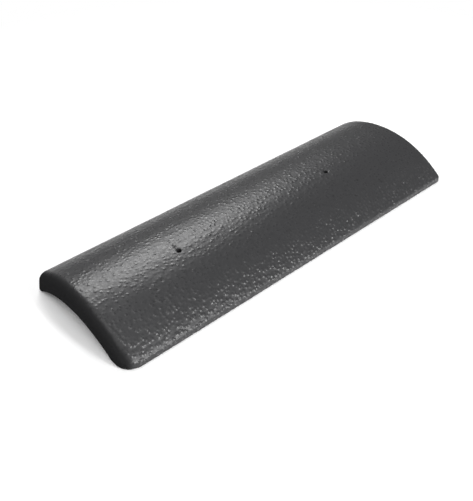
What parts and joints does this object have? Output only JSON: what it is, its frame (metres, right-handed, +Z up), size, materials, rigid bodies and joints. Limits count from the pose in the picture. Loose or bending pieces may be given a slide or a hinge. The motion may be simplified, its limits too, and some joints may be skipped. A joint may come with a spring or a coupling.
{
  "type": "wall abutment ridge tile",
  "caption": "Arched concrete ridge tile for a wall abutment: one long face meets the wall, the other side lies on a flat bed, opposite corners are rounded and nail holes pierce the crown.",
  "frame": {"origin": "on the floor, at the middle of the tile's footprint", "axes": "+X along the tile's length, +Y to the long side that meets the wall, +Z up"},
  "size_m": [0.45, 0.1532, 0.038],
  "materials": {
    "coated_concrete": "anthracite granular coating with a satin gloss on cast concrete"
  },
  "bodies": {
    "root": {"ridge_tile": "coated_concrete"}
  },
  "joints": []
}
